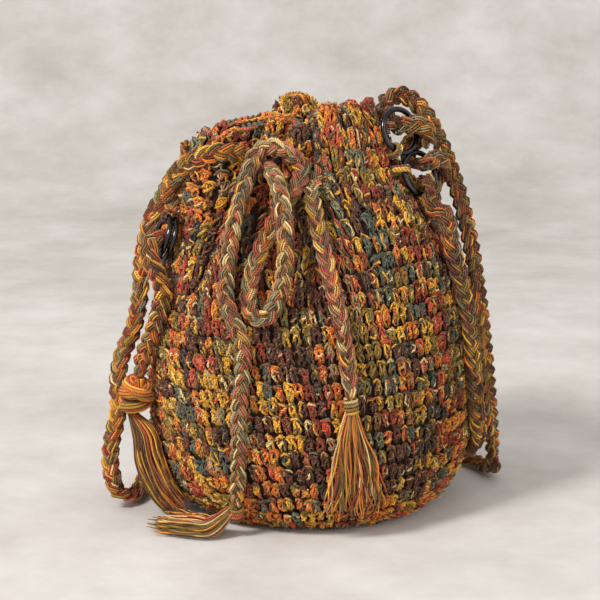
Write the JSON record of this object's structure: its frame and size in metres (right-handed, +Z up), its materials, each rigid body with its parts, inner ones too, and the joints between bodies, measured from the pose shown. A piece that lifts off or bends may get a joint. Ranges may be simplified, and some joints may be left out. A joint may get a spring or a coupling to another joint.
{
  "type": "potli bag",
  "caption": "Crocheted drawstring pouch with a gathered neck, braided drawstring and shoulder strap, metal rings and yarn tassels.",
  "frame": {"origin": "centre of the pouch's base, on the surface that it stands on", "axes": "+Z up through the mouth, -Y towards the side with the drawstring's ends, +X towards the side with the strap's hitch"},
  "size_m": [0.2544, 0.2244, 0.2607],
  "materials": {
    "crochet_yarn": "variegated crochet stitches, matt",
    "drawstring_yarn": "variegated braid, matt with a slight sheen",
    "strap_yarn": "variegated braid, matt with a slight sheen",
    "tassel_yarn": "loose yarn ends, slight sheen",
    "dark_steel": "polished dark plating"
  },
  "bodies": {
    "root": {"bag_body": "crochet_yarn", "drawstring": "drawstring_yarn", "drawstring_tie_right": "tassel_yarn", "drawstring_tie_left": "tassel_yarn", "drawstring_tassel_right": "tassel_yarn", "drawstring_tassel_left": "tassel_yarn", "shoulder_strap": "strap_yarn", "strap_hitch": "strap_yarn", "strap_second_run": "strap_yarn", "strap_left_end": "strap_yarn", "strap_knot": "strap_yarn", "strap_tassel": "tassel_yarn", "ring_tab_upper": "crochet_yarn", "ring_tab_lower": "crochet_yarn", "ring_tab_left": "crochet_yarn"},
    "ring_right_upper": {"ring_right_upper": "dark_steel"},
    "ring_right_lower": {"ring_right_lower": "dark_steel"},
    "ring_left_inner": {"ring_left_inner": "dark_steel"},
    "ring_left_outer": {"ring_left_outer": "dark_steel"}
  },
  "joints": [
    {"name": "ring_right_upper_turn", "type": "hinge", "parent": "root", "child": "ring_right_upper", "pos_m": [0.0535, -0.0275, 0.2375], "axis": [0.6222, -0.7226, 0.3011], "continuous": true},
    {"name": "ring_right_lower_turn", "type": "hinge", "parent": "root", "child": "ring_right_lower", "pos_m": [0.066, -0.024, 0.211], "axis": [0.6476, -0.6775, 0.3487], "continuous": true},
    {"name": "ring_left_inner_turn", "type": "hinge", "parent": "root", "child": "ring_left_inner", "pos_m": [-0.08787, -0.02855, 0.17125], "axis": [-0.8942, -0.2905, 0.3406], "continuous": true},
    {"name": "ring_left_outer_turn", "type": "hinge", "parent": "root", "child": "ring_left_outer", "pos_m": [-0.09145, -0.02971, 0.17261], "axis": [-0.8942, -0.2905, 0.3406], "continuous": true}
  ]
}
